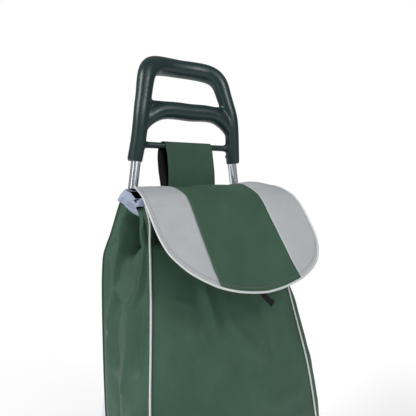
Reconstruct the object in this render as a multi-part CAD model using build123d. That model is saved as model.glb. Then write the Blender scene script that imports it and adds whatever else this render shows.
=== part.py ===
from build123d import *
from math import asin, atan2, cos, degrees, hypot, radians, sin
import os

# Two-wheeled shopping trolley bag.
# A welded steel tube frame carries a sewn bag with a big front-falling flap.
# Millimetres, +Z up, front of the bag towards -Y, origin on the floor under the middle of the box.
# Most depths are given as a reach: the distance in front of the plane of the two uprights.

# ---- driving dimensions: overall ----
WHEEL_D = 160.0            # tyre outside diameter
SOCKET_Z = 726.0           # lower mouth of the handle's two sockets
SOCKET_HALF = 108.0        # half the spacing of the uprights at the socket mouths
UPRIGHT_LEAN = 0.135       # outward run of each upright per millimetre downwards
BAG_DEPTH = 191.0          # bag bottom, rear panel to front panel
BAG_HALF_WIDTH = 172.0     # bag bottom, half its width
FLAP_REACH = 249.0         # flap tip in front of the uprights' plane

# ---- tube frame ----
TUBE_D = 18.0
TUBE_WALL = 1.2
CROSS_D = 14.0
AXLE_D = 10.0
AXLE_CLEARANCE = 0.06      # radial, wheel hub on axle
UPRIGHT_BELOW_AXLE = 20.0
PLUG_STEM = 9.0            # end plug inside the upright
PLUG_HEAD = 3.0            # end plug below the upright
CROSSBAR_MIDDLE_Z = 330.0
CROSSBAR_UPPER_Z = 560.0
SHELF_ABOVE_AXLE = 38.0
SHELF_HALF = 150.0
SHELF_REACH = 190.0
SHELF_CORNER_R = 30.0
WIRE_D = 5.0
WIRE_COUNT = 5
STAND_HALF = 95.0
STAND_CORNER_R = 25.0
FOOT_SOLE = 3.0            # rubber under the stand tube
FOOT_LENGTH = 34.0
FOOT_INSET = 45.0          # foot centre inwards from the stand leg
FOOT_WALL = 3.5
FOOT_COVER = 0.8           # share of the stand tube that a foot covers, from below

# ---- handle ----
SOCKET_DEPTH = 34.0
SOCKET_CLEARANCE = 0.05
LEG_D = 28.5
GRIP_D = 36.0
ARCH_D = 32.0
BAR_D = 13.0               # thin bar that carries the hanging loop
BAR_ABOVE_SOCKET = 31.0
LEG_KINK_ABOVE_SOCKET = 70.0
LEG_SPLAY = 2.0            # outwards at the socket mouth, inwards at the kink
LEG_BEND_R = 60.0
ARCH_ABOVE_SOCKET = 97.0
GRIP_ABOVE_SOCKET = 187.0
GRIP_SWEEP = 36.0          # top grip behind the uprights' plane
GRIP_CORNER_R = 46.0
GRIP_HALF = 88.0
ARCH_HALF = 88.0
ARCH_CORNER_R = 28.0
ARCH_FOOT_IN = 4.0         # arch ends inwards from the socket axes
ARCH_FOOT_RISE = 7.8       # arch ends above the thin bar
SCREW_ABOVE_SOCKET = 14.0
SCREW_SHANK_D = 4.0
SCREW_HEAD_D = 8.0
SCREW_HEAD_H = 2.4
SCREW_HEAD_GAP = 0.6       # between a screw head and the leg
SCREW_SLOT = (5.0, 1.1)    # length and width of each slot of the cross
SCREW_SLOT_DEPTH = 1.0

# ---- wheels ----
TYRE_WIDTH = 30.0
TYRE_SECTION = 17.0        # tyre height from its seat to its tread
TYRE_SHOULDER = ((0.0, 7.0), (3.0, 2.5), (7.0, 0.0))  # in from the side, down from the tread
RIM_THICK = 5.0
HUB_D = 34.0
HUB_WIDTH = 36.0
WEB_THICK = 6.0
SPOKE_COUNT = 6
SPOKE_WIDTH = 15.0
TREAD_GROOVE = 1.6
TREAD_GROOVE_SPAN = (3.5, 5.5)  # groove edges from the middle of the tyre
RIM_INSET = 1.0            # rim edge inwards from the tyre side
SPOKE_ROOT = 2.0           # spoke let into the hub
WASHER_D = 24.0
WASHER_T = 1.5
UPRIGHT_GAP = 0.4          # between an upright and the washer beside it
HUB_PLAY = 0.4             # end float beside the hub and the washers
CAP_D = 22.0
CAP_DEPTH = 9.0
CAP_WALL = 1.5

# ---- bag ----
FABRIC_T = 1.2
BAG_REAR_REACH = 14.0      # rear panel in front of the uprights' plane
REST_GAP = 0.2             # bag floor above the shelf wires
BOARD_T = 4.0
BOARD_EDGE_GAP = 4.0
SEAM_Z = 645.0             # collar seam round the bag's top
COLLAR_HEIGHT = 23.0
COLLAR_T = 1.8
PIPING_D = 4.0
PIPING_BEND_R = 20.0
PIPING_GAP = 0.06          # between a corner piping and the walls that it edges
# outer sections above the floor section: height, rear half width, front half width, front reach
BODY_SECTIONS = ((340.0, 178.0, 162.0, 171.0), (500.0, 181.0, 140.0, 132.0))
SEAM_SECTION = (SEAM_Z, 152.0, 134.0, 97.0)
RIM_SECTION = (SEAM_Z + COLLAR_HEIGHT, 136.0, 134.0, 96.0)

# ---- webbing and loops ----
LOOP_WIDTH = 110.0
LOOP_T = 1.6
LOOP_SLACK = 0.3           # between a loop and the bar in it
LOOP_BASE_BELOW_RIM = 14.0
LOOP_SEAM_R = 0.16         # inside of a loop where its two plies meet
STRAP_WIDTH = 30.0
STRAP_HALF = 70.0
STRAP_RISE = 46.0          # sewn base above the crossbar
STUD_SHARE = 0.6           # stud along the strap, from bar to base
STUD_D = 12.0
STUD_T = 2.0

# ---- flap ----
FLAP_T = 1.6
FLAP_CREST_ABOVE_RIM = 14.0
STRIPE_HALF = 76.0
BEAD_WIDTH = 3.5
BEAD_T = 3.6
HINGE_REACH = 32.0
HINGE_GAP = 3.0
REAR_STRIP_IN = 4.0        # rear strip inwards from the socket axes
FLAP_REAR_DROP = 9.0       # sewn edge below the crest
CUT_MARGIN = 5.0           # of construction solids beyond what they cut
# falling line of the flap's middle: share of the reach beyond the hinge line, drop below the crest
FLAP_FALL = ((0.0, 2.5), (0.17, 0.0), (0.34, 7.5), (0.493, 26.0), (0.608, 56.5), (0.788, 107.0),
             (1.0, 159.0))
# half of its plan outline: share of the reach beyond the hinge line, half width
FLAP_PLAN = ((0.0, 118.0), (0.17, 139.0), (0.34, 153.0), (0.52, 158.0), (0.71, 154.0),
             (0.862, 131.0), (0.945, 90.0), (1.0, 0.0))
TAB_WIDTH = 12.0
TAB_T = 1.4
TAB_GAP = 0.5              # thread and bead under-fold between flap and tab
TAB_SEWN = 24.0            # length under the flap
TAB_SHOWS = 30.0           # length below the flap's edge
TAB_FALL_DEG = 65.0        # of the free end, below the horizontal

# ---- derived places ----
AXLE_Z = WHEEL_D / 2
FRONT_REACH = FLAP_REACH + TAB_SHOWS * cos(radians(TAB_FALL_DEG))
FRAME_Y = (FRONT_REACH - WHEEL_D / 2) / 2
SHELF_Z = AXLE_Z + SHELF_ABOVE_AXLE
WIRE_Z = SHELF_Z + CROSS_D / 2 + WIRE_D / 2 - REST_GAP
BAG_FLOOR_Z = WIRE_Z + WIRE_D / 2 + REST_GAP
FLOOR_SECTION = (BAG_FLOOR_Z, BAG_HALF_WIDTH, BAG_HALF_WIDTH, BAG_REAR_REACH + BAG_DEPTH)
BAG_SECTIONS = (FLOOR_SECTION,) + BODY_SECTIONS + (SEAM_SECTION,)
CREST_Z = RIM_SECTION[0] + FLAP_CREST_ABOVE_RIM
STAND_BAR_Z = FOOT_SOLE + CROSS_D / 2


def upright_x(z):
    """Distance of an upright's axis from the middle at height z."""
    return SOCKET_HALF + UPRIGHT_LEAN * (SOCKET_Z - z)


def at(x, reach, z):
    """Point at a reach in front of the uprights' plane."""
    return Vector(x, FRAME_Y - reach, z)


def rod(start, end, diameter):
    """Round bar between two points."""
    axis = end - start
    return extrude(Plane(start, z_dir=axis) * Circle(diameter / 2), axis.length)


def bent_rod(points, radii, diameter):
    """Round bar along straight runs joined by tangent arcs."""
    path = FilletPolyline(*points, radius=radii)
    return sweep(Plane(path @ 0, z_dir=path % 0) * Circle(diameter / 2), path=path)


def x_cylinder(diameter, x_from, x_to, reach=0.0, z=AXLE_Z):
    return rod(at(x_from, reach, z), at(x_to, reach, z), diameter)


# ---------------------------------------------------------------- tube frame
def upright_axis(side):
    low = AXLE_Z - UPRIGHT_BELOW_AXLE
    high = SOCKET_Z + SOCKET_DEPTH
    return at(side * upright_x(low), 0, low), at(side * upright_x(high), 0, high)


def upright_outer(side, grow=0.0):
    start, end = upright_axis(side)
    return rod(start, end, TUBE_D + 2 * grow)


def screw_shank(side):
    z = SOCKET_Z + SCREW_ABOVE_SOCKET
    return rod(at(side * upright_x(z), -LEG_D, z), at(side * upright_x(z), 0, z), SCREW_SHANK_D)


def upright(side):
    start, end = upright_axis(side)
    tube = upright_outer(side) - rod(start, end, TUBE_D - 2 * TUBE_WALL)
    return tube - x_cylinder(AXLE_D, -2 * upright_x(0), 2 * upright_x(0)) - screw_shank(side)


def upright_plug(side):
    """Plastic end plug pressed into the foot of an upright."""
    start, end = upright_axis(side)
    along = (end - start).normalized()
    stem = rod(start, start + along * PLUG_STEM, TUBE_D - 2 * TUBE_WALL)
    return stem + rod(start - along * PLUG_HEAD, start, TUBE_D)


def crossbar(z, diameter=CROSS_D):
    bar = x_cylinder(diameter, -upright_x(z), upright_x(z), 0, z)
    return bar - upright_outer(1) - upright_outer(-1)


def shelf_outer():
    points = [at(-SHELF_HALF, 0, SHELF_Z), at(-SHELF_HALF, SHELF_REACH, SHELF_Z),
              at(SHELF_HALF, SHELF_REACH, SHELF_Z), at(SHELF_HALF, 0, SHELF_Z)]
    return bent_rod(points, SHELF_CORNER_R, CROSS_D)


def shelf_frame():
    return shelf_outer() - x_cylinder(CROSS_D, -SHELF_HALF * 2, SHELF_HALF * 2, 0, SHELF_Z)


def shelf_wires():
    """Cross wires welded on top of the shelf tube."""
    pitch = SHELF_REACH / (WIRE_COUNT + 1)
    wires = [x_cylinder(WIRE_D, -SHELF_HALF, SHELF_HALF, pitch * (i + 1), WIRE_Z) for i in range(WIRE_COUNT)]
    return [wire - shelf_outer() for wire in wires]


def front_stand():
    points = [at(-STAND_HALF, SHELF_REACH, SHELF_Z), at(-STAND_HALF, SHELF_REACH, STAND_BAR_Z),
              at(STAND_HALF, SHELF_REACH, STAND_BAR_Z), at(STAND_HALF, SHELF_REACH, SHELF_Z)]
    return bent_rod(points, STAND_CORNER_R, CROSS_D)


def stand_foot(side):
    """Rubber foot clipped round the stand's floor bar."""
    x = side * (STAND_HALF - FOOT_INSET)
    height = FOOT_SOLE + CROSS_D * FOOT_COVER
    width = CROSS_D + 2 * FOOT_WALL
    block = Pos(at(x, SHELF_REACH, height / 2)) * Box(FOOT_LENGTH, width, height)
    block = fillet(block.edges().filter_by(Axis.Z), FOOT_WALL)
    return block - front_stand()


# ---------------------------------------------------------------- handle
def loop_points():
    kink_z = SOCKET_Z + LEG_KINK_ABOVE_SOCKET
    foot_x, kink_x = SOCKET_HALF + LEG_SPLAY, SOCKET_HALF - LEG_SPLAY
    top_z = SOCKET_Z + GRIP_ABOVE_SOCKET
    side = [(foot_x, 0, SOCKET_Z), (kink_x, 0, kink_z), (GRIP_HALF, -GRIP_SWEEP, top_z)]
    return [at(-x, reach, z) for x, reach, z in side] + [at(x, reach, z) for x, reach, z in reversed(side)]


def arch_points():
    foot_x = SOCKET_HALF - ARCH_FOOT_IN
    foot_z = SOCKET_Z + BAR_ABOVE_SOCKET + ARCH_FOOT_RISE
    top_z = SOCKET_Z + ARCH_ABOVE_SOCKET
    return [at(-foot_x, 0, foot_z), at(-ARCH_HALF, 0, top_z), at(ARCH_HALF, 0, top_z), at(foot_x, 0, foot_z)]


def handle():
    """Double-loop moulded handle with a socket at the foot of each leg."""
    top_z = SOCKET_Z + GRIP_ABOVE_SOCKET
    bar_z = SOCKET_Z + BAR_ABOVE_SOCKET
    flat = GRIP_HALF - GRIP_CORNER_R
    body = bent_rod(loop_points(), [LEG_BEND_R, GRIP_CORNER_R, GRIP_CORNER_R, LEG_BEND_R], LEG_D)
    body += x_cylinder(GRIP_D, -flat, flat, -GRIP_SWEEP, top_z)
    body += bent_rod(arch_points(), ARCH_CORNER_R, ARCH_D)
    body += x_cylinder(BAR_D, -SOCKET_HALF, SOCKET_HALF, 0, bar_z)
    for side in (-1, 1):
        body -= upright_outer(side, SOCKET_CLEARANCE)
        body -= screw_shank(side)
    return body


def handle_screw(side):
    """Self-tapping screw through the back of a socket into the upright."""
    z = SOCKET_Z + SCREW_ABOVE_SOCKET
    x = side * upright_x(z)
    head_at = -LEG_D / 2 - SCREW_HEAD_GAP
    length, width = SCREW_SLOT
    shank = rod(at(x, head_at, z), at(x, -TUBE_D / 2 + TUBE_WALL, z), SCREW_SHANK_D)
    head = rod(at(x, head_at - SCREW_HEAD_H, z), at(x, head_at, z), SCREW_HEAD_D)
    cross = Box(length, 2 * SCREW_SLOT_DEPTH, width) + Box(width, 2 * SCREW_SLOT_DEPTH, length)
    return shank + head - Pos(at(x, head_at - SCREW_HEAD_H, z)) * cross


# ---------------------------------------------------------------- wheels and axle
def wheel_inner_x():
    """Inner end of the wheel hub, just outside the upright and its washer."""
    return upright_x(AXLE_Z - WASHER_D / 2) + TUBE_D / 2 + UPRIGHT_GAP + WASHER_T + HUB_PLAY


def wheel_mid_x():
    return wheel_inner_x() + HUB_WIDTH / 2


def x_revolve(points, side):
    """Ring turned about the axle from (x from the wheel's middle, radius) points."""
    corners = [at(side * (wheel_mid_x() + x), 0, AXLE_Z + radius) for x, radius in points]
    return revolve(Face(Wire.make_polygon(corners, close=True)), Axis(at(0, 0, AXLE_Z), (1, 0, 0)))


def tyre(side):
    seat = WHEEL_D / 2 - TYRE_SECTION
    half = TYRE_WIDTH / 2
    top = WHEEL_D / 2
    groove_from, groove_to = TREAD_GROOVE_SPAN
    right = [(half, seat)] + [(half - inwards, top - down) for inwards, down in TYRE_SHOULDER]
    right += [(groove_to, top), (groove_to, top - TREAD_GROOVE),
              (groove_from, top - TREAD_GROOVE), (groove_from, top)]
    left = [(-x, radius) for x, radius in reversed(right)]
    return x_revolve(right + left, side)


def wheel_bore(side, diameter):
    return x_cylinder(diameter, side * (wheel_mid_x() - HUB_WIDTH), side * (wheel_mid_x() + HUB_WIDTH))


def wheel_rim(side):
    """Moulded wheel: rim, hub and broad spokes between them."""
    seat = WHEEL_D / 2 - TYRE_SECTION
    half = TYRE_WIDTH / 2 - RIM_INSET
    rim = x_revolve([(-half, seat), (half, seat), (half, seat - RIM_THICK), (-half, seat - RIM_THICK)], side)
    mid = side * wheel_mid_x()
    hub = x_cylinder(HUB_D, mid - side * HUB_WIDTH / 2, mid + side * HUB_WIDTH / 2)
    spoke_from, spoke_to = HUB_D / 2 - SPOKE_ROOT, seat - RIM_THICK / 2
    spoke = Pos(0, 0, (spoke_from + spoke_to) / 2) * Box(WEB_THICK, SPOKE_WIDTH, spoke_to - spoke_from)
    wheel = rim + hub
    for i in range(SPOKE_COUNT):
        wheel += Pos(at(mid, 0, AXLE_Z)) * Rot(360 / SPOKE_COUNT * i, 0, 0) * spoke
    return wheel - wheel_bore(side, AXLE_D + 2 * AXLE_CLEARANCE)


def axle_end_x():
    return wheel_inner_x() + HUB_WIDTH + 2 * HUB_PLAY + WASHER_T + CAP_DEPTH - CAP_WALL


def axle():
    return x_cylinder(AXLE_D, -axle_end_x(), axle_end_x())


def washer(side, x_from):
    disc = x_cylinder(WASHER_D, side * x_from, side * (x_from + WASHER_T))
    return disc - axle()


def inner_washer(side):
    return washer(side, wheel_inner_x() - HUB_PLAY - WASHER_T)


def outer_washer(side):
    return washer(side, wheel_inner_x() + HUB_WIDTH + HUB_PLAY)


def axle_cap(side):
    """Domed push-on cap that grips the end of the axle."""
    start = wheel_inner_x() + HUB_WIDTH + HUB_PLAY + WASHER_T
    cap = x_cylinder(CAP_D, side * start, side * (start + CAP_DEPTH))
    outer_edge = cap.edges().sort_by(Axis.X)[-1 if side > 0 else 0]
    return fillet(outer_edge, CAP_DEPTH / 2) - axle()


# ---------------------------------------------------------------- bag
def section_corners(section, inset):
    """Rear-left, rear-right, front-right and front-left corners of a level section."""
    z, rear_half, front_half, front_reach = section
    rear, front = BAG_REAR_REACH + inset, front_reach - inset
    return [at(-rear_half + inset, rear, z), at(rear_half - inset, rear, z),
            at(front_half - inset, front, z), at(-front_half + inset, front, z)]


def wall(sections, first, second, thickness):
    """Sheet between two corner lines of the bag, mitred at both."""
    faces = []
    for section in sections:
        outer, inner = section_corners(section, 0), section_corners(section, thickness)
        corners = [outer[first], outer[second], inner[second], inner[first]]
        faces.append(Face(Wire.make_polygon(corners, close=True)))
    return loft(faces, ruled=True)


def bottom_panel():
    floor = Wire.make_polygon(section_corners(FLOOR_SECTION, 0), close=True)
    return extrude(Face(floor), FABRIC_T, dir=(0, 0, 1))


def wall_sections():
    first = (BAG_FLOOR_Z + FABRIC_T,) + FLOOR_SECTION[1:]
    return (first,) + BAG_SECTIONS[1:]


def base_board():
    """Stiff board lying loose on the bag's floor."""
    inset = FABRIC_T + BOARD_EDGE_GAP
    corners = section_corners((BAG_FLOOR_Z + FABRIC_T,) + FLOOR_SECTION[1:], inset)
    return extrude(Face(Wire.make_polygon(corners, close=True)), BOARD_T, dir=(0, 0, 1))


def collar():
    """Pale hem band round the mouth."""
    sections = (SEAM_SECTION, RIM_SECTION)
    outer = [Face(Wire.make_polygon(section_corners(s, 0), close=True)) for s in sections]
    inner = [Face(Wire.make_polygon(section_corners(s, COLLAR_T), close=True)) for s in sections]
    return loft(outer, ruled=True) - loft(inner, ruled=True)


def front_piping(side):
    """Corded piping down one front corner of the bag, just clear of both walls."""
    corners = [section_corners(section, 0)[2 if side > 0 else 3] for section in wall_sections()]
    outward = Vector(side, -1, 0).normalized()
    sines = [outward.cross((b - a).normalized()).length for a, b in zip(corners, corners[1:])]
    stand_off = (PIPING_D / 2 + PIPING_GAP) / min(sines)
    return bent_rod([corner + outward * stand_off for corner in corners], PIPING_BEND_R, PIPING_D)


# ---------------------------------------------------------------- loops and straps
def fabric_loop(bar_reach, bar_z, bar_d, base_reach, base_z, width, x_mid):
    """Strip folded round a bar and sewn to itself at its base."""
    inner_r = bar_d / 2 + LOOP_SLACK
    shapes = []
    for bar_r, base_r in ((inner_r + LOOP_T, LOOP_T), (inner_r, LOOP_SEAM_R)):
        plane = Plane(at(x_mid + width / 2, 0, 0), x_dir=(0, -1, 0), z_dir=(-1, 0, 0))
        circles = [(bar_reach, bar_z, bar_r), (base_reach, base_z, base_r)]
        edges = [Pos(reach, plane_z) * Edge.make_circle(radius) for reach, plane_z, radius in circles]
        shapes.append(extrude(plane * make_hull(edges), width))
    return shapes[0] - shapes[1]


def hanging_loop():
    base_z = RIM_SECTION[0] - LOOP_BASE_BELOW_RIM
    base_reach = BAG_REAR_REACH - LOOP_T
    return fabric_loop(0, SOCKET_Z + BAR_ABOVE_SOCKET, BAR_D, base_reach, base_z, LOOP_WIDTH, 0)


def lower_strap(side):
    base_reach = BAG_REAR_REACH - LOOP_T
    base_z = CROSSBAR_MIDDLE_Z + STRAP_RISE
    return fabric_loop(0, CROSSBAR_MIDDLE_Z, CROSS_D, base_reach, base_z, STRAP_WIDTH, side * STRAP_HALF)


def press_stud(side):
    """Metal snap standing on the back ply of a lower strap."""
    bar_r = CROSS_D / 2 + LOOP_SLACK + LOOP_T
    run, rise = BAG_REAR_REACH - LOOP_T, STRAP_RISE
    length = hypot(run, rise)
    lean = atan2(run, rise) + asin((bar_r - LOOP_T) / length)
    outward = Vector(0, cos(lean), sin(lean))
    middle = at(side * STRAP_HALF, run * STUD_SHARE, CROSSBAR_MIDDLE_Z + rise * STUD_SHARE)
    seat = middle + outward * (bar_r + (LOOP_T - bar_r) * STUD_SHARE)
    return rod(seat, seat + outward * STUD_T, STUD_D)


# ---------------------------------------------------------------- flap
def flap_span():
    return FLAP_REACH - HINGE_REACH


def flap_half_width():
    return max(half for _, half in FLAP_PLAN)


def flap_profile(rear_share=0.0):
    """The flap's middle line from front to rear in the side view, carried to a share behind the hinge."""
    points = []
    for share, drop in reversed(FLAP_FALL):
        points.append(at(0, HINGE_REACH + share * flap_span(), CREST_Z - drop))
    if rear_share:
        points.append(at(0, HINGE_REACH - rear_share * flap_span(), CREST_Z - FLAP_REAR_DROP))
    return Spline(*points)


def flap_slab(thickness, rear_share=0.0):
    """Curved slab of even thickness, wider than the flap, about its middle line."""
    half = flap_half_width() + 2 * CUT_MARGIN
    line = Pos(-half, 0, 0) * flap_profile(rear_share)
    sheet = Face.extrude(line, (2 * half, 0, 0))
    return thicken(sheet, thickness / 2, both=True)


def flap_outline(inset=0.0):
    """Upright prism with the flap's plan outline, from the hinge line forwards."""
    right = []
    for share, half in FLAP_PLAN[:-1]:
        right.append(at(half - inset, HINGE_REACH + share * (flap_span() - inset), 0))
    tip = at(0, FLAP_REACH - inset, 0)
    left = [Vector(-p.X, p.Y, 0) for p in reversed(right)]
    edge = Spline(*right, tip, *left)
    outline = Face(Wire([edge, Line(left[-1], right[0])]))
    return extrude(outline, 2 * CREST_Z, dir=(0, 0, 1))


def flap_region(x_from, x_to, reach_from, reach_to):
    corner = at(x_from, reach_to, 0)
    size = (x_to - x_from, reach_to - reach_from, 2 * CREST_Z)
    return Pos(corner) * Box(*size, align=(Align.MIN, Align.MIN, Align.MIN))


def flap_panel(x_from, x_to):
    region = flap_region(x_from, x_to, HINGE_REACH + HINGE_GAP / 2, FLAP_REACH)
    return flap_slab(FLAP_T) & flap_outline(BEAD_WIDTH) & region


def flap_piping():
    """Corded bead round the flap's free edge."""
    half = flap_half_width() + CUT_MARGIN
    region = flap_region(-half, half, HINGE_REACH + HINGE_GAP / 2, FLAP_REACH + CUT_MARGIN)
    return (flap_slab(BEAD_T) & flap_outline() & region) - flap_outline(BEAD_WIDTH)


def flap_rear_strip():
    """Sewn edge of the flap, between the collar and the line it hinges on."""
    rear_share = (HINGE_REACH - BAG_REAR_REACH) / flap_span()
    half = SOCKET_HALF - REAR_STRIP_IN
    region = flap_region(-half, half, BAG_REAR_REACH + FABRIC_T, HINGE_REACH - HINGE_GAP / 2)
    return flap_slab(FLAP_T, rear_share) & region


def flap_tip_fall():
    """Angle of the flap at its tip, below the horizontal, in degrees."""
    (share_a, drop_a), (share_b, drop_b) = FLAP_FALL[-2:]
    return degrees(atan2(drop_b - drop_a, (share_b - share_a) * flap_span()))


def tab_strip(fall_deg, z_align, length):
    """Flat strip through the origin, sloping down and forwards."""
    strip = Box(TAB_WIDTH, TAB_T, length, align=(Align.CENTER, Align.MIN, z_align))
    return Rot(fall_deg - 90, 0, 0) * Pos(0, BEAD_T / 2 + TAB_GAP, 0) * strip


def flap_tab():
    """Webbing pull tab sewn under the flap's tip, its free end hanging."""
    tip = at(0, FLAP_REACH, CREST_Z - FLAP_FALL[-1][1])
    sewn = tab_strip(flap_tip_fall(), Align.MIN, TAB_SEWN)
    free = tab_strip(TAB_FALL_DEG, Align.MAX, TAB_SHOWS)
    return Pos(tip) * (sewn + free)


# ---------------------------------------------------------------- assembly
def nodes():
    full = flap_half_width() + CUT_MARGIN
    parts = {
        "handle": handle(),
        "handle_screws": [handle_screw(-1), handle_screw(1)],
        "upright_plugs": [upright_plug(-1), upright_plug(1)],
        "crossbar_upper": crossbar(CROSSBAR_UPPER_Z),
        "crossbar_middle": crossbar(CROSSBAR_MIDDLE_Z),
        "crossbar_lower": crossbar(SHELF_Z),
        "shelf_frame": shelf_frame(),
        "shelf_wires": shelf_wires(),
        "front_stand": front_stand() - shelf_outer(),
        "axle": axle(),
        "inner_washers": [inner_washer(-1), inner_washer(1)],
        "outer_washers": [outer_washer(-1), outer_washer(1)],
        "bag_bottom_panel": bottom_panel(),
        "bag_rear_panel": wall(wall_sections(), 0, 1, FABRIC_T),
        "bag_gusset_right": wall(wall_sections(), 1, 2, FABRIC_T),
        "bag_front_panel": wall(wall_sections(), 2, 3, FABRIC_T),
        "bag_gusset_left": wall(wall_sections(), 3, 0, FABRIC_T),
        "base_board": base_board(),
        "collar": collar(),
        "hanging_loop": hanging_loop(),
        "press_studs": [press_stud(-1), press_stud(1)],
        "flap_rear_strip": flap_rear_strip(),
        "flap_left": flap_panel(-full, -STRIPE_HALF),
        "flap_centre": flap_panel(-STRIPE_HALF, STRIPE_HALF),
        "flap_right": flap_panel(STRIPE_HALF, full),
        "flap_piping": flap_piping(),
        "flap_tab": flap_tab(),
    }
    for side, word in ((-1, "left"), (1, "right")):
        parts["upright_" + word] = upright(side)
        parts["foot_" + word] = stand_foot(side)
        parts["tyre_" + word] = tyre(side)
        parts["wheel_" + word] = wheel_rim(side)
        parts["axle_cap_" + word] = axle_cap(side)
        parts["piping_" + word] = front_piping(side)
        parts["lower_strap_" + word] = lower_strap(side)
    return parts


def main():
    os.makedirs("parts", exist_ok=True)
    for name, shape in nodes().items():
        solids = []
        for piece in shape if isinstance(shape, list) else [shape]:
            solids += piece.solids()
        export_step(solids[0] if len(solids) == 1 else Compound(children=solids), "parts/" + name + ".step")


main()
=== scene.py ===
from bisect import bisect_right
from math import pi, radians, sin

import bmesh
import bpy
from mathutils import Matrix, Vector, noise


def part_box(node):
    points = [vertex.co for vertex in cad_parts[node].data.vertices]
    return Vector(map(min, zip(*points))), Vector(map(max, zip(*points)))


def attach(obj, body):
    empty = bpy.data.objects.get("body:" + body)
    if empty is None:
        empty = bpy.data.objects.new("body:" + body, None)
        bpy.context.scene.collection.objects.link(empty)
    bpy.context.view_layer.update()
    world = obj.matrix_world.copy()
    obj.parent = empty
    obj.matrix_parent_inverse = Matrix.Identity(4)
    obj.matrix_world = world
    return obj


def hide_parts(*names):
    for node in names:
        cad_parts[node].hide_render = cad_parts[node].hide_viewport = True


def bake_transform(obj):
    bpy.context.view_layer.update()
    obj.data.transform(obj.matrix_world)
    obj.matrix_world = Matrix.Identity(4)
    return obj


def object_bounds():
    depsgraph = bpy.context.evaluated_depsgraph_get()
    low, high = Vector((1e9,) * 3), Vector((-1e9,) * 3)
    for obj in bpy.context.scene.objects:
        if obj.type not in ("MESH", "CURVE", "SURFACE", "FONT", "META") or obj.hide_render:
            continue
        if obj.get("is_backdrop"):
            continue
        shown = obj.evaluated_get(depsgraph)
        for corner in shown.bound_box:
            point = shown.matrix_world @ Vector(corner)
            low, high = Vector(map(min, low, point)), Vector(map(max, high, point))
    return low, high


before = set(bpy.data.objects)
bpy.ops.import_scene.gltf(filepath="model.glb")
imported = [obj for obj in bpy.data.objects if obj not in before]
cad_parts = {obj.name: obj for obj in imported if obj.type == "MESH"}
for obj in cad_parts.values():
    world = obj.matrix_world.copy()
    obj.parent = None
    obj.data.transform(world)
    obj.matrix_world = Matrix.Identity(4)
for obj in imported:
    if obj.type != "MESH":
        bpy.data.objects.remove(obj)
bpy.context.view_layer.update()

# Two-wheeled shopping trolley bag: sewn bag with a falling flap, on a plated tube frame with a moulded handle.
# Sizes are in millimetres, and at() turns them into metres in the part's own frame.
# A reach is the distance in front of the plane of the two uprights.
MM = 0.001


def middle(node):
    low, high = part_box(node)
    return (low + high) / 2


UPRIGHTS_Y = middle("crossbar_upper").y
SOCKET_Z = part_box("handle")[0].z / MM
THIN_BAR_Z = SOCKET_Z + 31.0
BAG_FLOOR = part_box("bag_bottom_panel")[0].z / MM
STRAP_BAR_Z = middle("crossbar_middle").z / MM


def at(x, reach, z):
    return Vector((x * MM, UPRIGHTS_Y - reach * MM, z * MM))


# ---------------------------------------------------------------- camera
camera_data = bpy.data.cameras.new("camera")
camera_data.sensor_width = 36.0
camera_data.lens = 36.99
camera = bpy.data.objects.new("camera", camera_data)
bpy.context.collection.objects.link(camera)
camera.location = (-0.4197, -0.6451, 0.6904)
camera.rotation_euler = (radians(86.3), 0, radians(-32.46))
bpy.context.scene.camera = camera


# ---------------------------------------------------------------- reading tables
def between(a, b, c, d, f):
    """Smooth step from b to c, f from 0 to 1, with a and d as their neighbours."""
    return b + (c - a + (a * 2 - b * 5 + c * 4 - d + ((b - c) * 3 + d - a) * f) * f) * f * 0.5


def through(points, t):
    """Smooth line through evenly counted points, t from 0 to 1."""
    span = t * (len(points) - 1)
    i = min(int(span), len(points) - 2)
    before, after = max(i - 1, 0), min(i + 2, len(points) - 1)
    return between(points[before], points[i], points[i + 1], points[after], span - i)


def read(table, key):
    """Smooth value between rows of (key, value)."""
    keys = [row[0] for row in table]
    last = len(table) - 1
    key = min(max(key, keys[0]), keys[last])
    i = min(max(bisect_right(keys, key) - 1, 0), last - 1)

    def slope(j):
        low, high = max(j - 1, 0), min(j + 1, last)
        return (table[high][1] - table[low][1]) / (keys[high] - keys[low])

    width = keys[i + 1] - keys[i]
    t = (key - keys[i]) / width
    rise = table[i + 1][1] - table[i][1]
    start, end = slope(i) * width, slope(i + 1) * width
    return table[i][1] + t * (start + t * (3 * rise - 2 * start - end + t * (start + end - 2 * rise)))


def hill(value, centre, width):
    """Smooth bump of height 1 round a centre."""
    t = min(abs(value - centre) / width, 1.0)
    return (1 - t * t) ** 2


# ---------------------------------------------------------------- materials
def linear(colour):
    """sRGB hex to linear RGBA."""
    parts = [int(colour[i:i + 2], 16) / 255 for i in (1, 3, 5)]
    return tuple(c / 12.92 if c <= 0.04045 else ((c + 0.055) / 1.055) ** 2.4 for c in parts) + (1.0,)


def add(tree, kind, inputs=None, **settings):
    """Adds a node with its settings, and links or sets its inputs."""
    made = tree.nodes.new(kind)
    for key, value in settings.items():
        setattr(made, key, value)
    for key, value in (inputs or {}).items():
        if isinstance(value, bpy.types.NodeSocket):
            tree.links.new(value, made.inputs[key])
        else:
            made.inputs[key].default_value = value
    return made


def surface(name, **sockets):
    """New material with one shader; constant values go on the shader's own sockets."""
    material = bpy.data.materials.new(name)
    material.use_nodes = True
    tree = material.node_tree
    shader = tree.nodes["Principled BSDF"]
    for key, value in sockets.items():
        shader.inputs[key.replace("_", " ")].default_value = value
    return material, tree, shader


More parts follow.
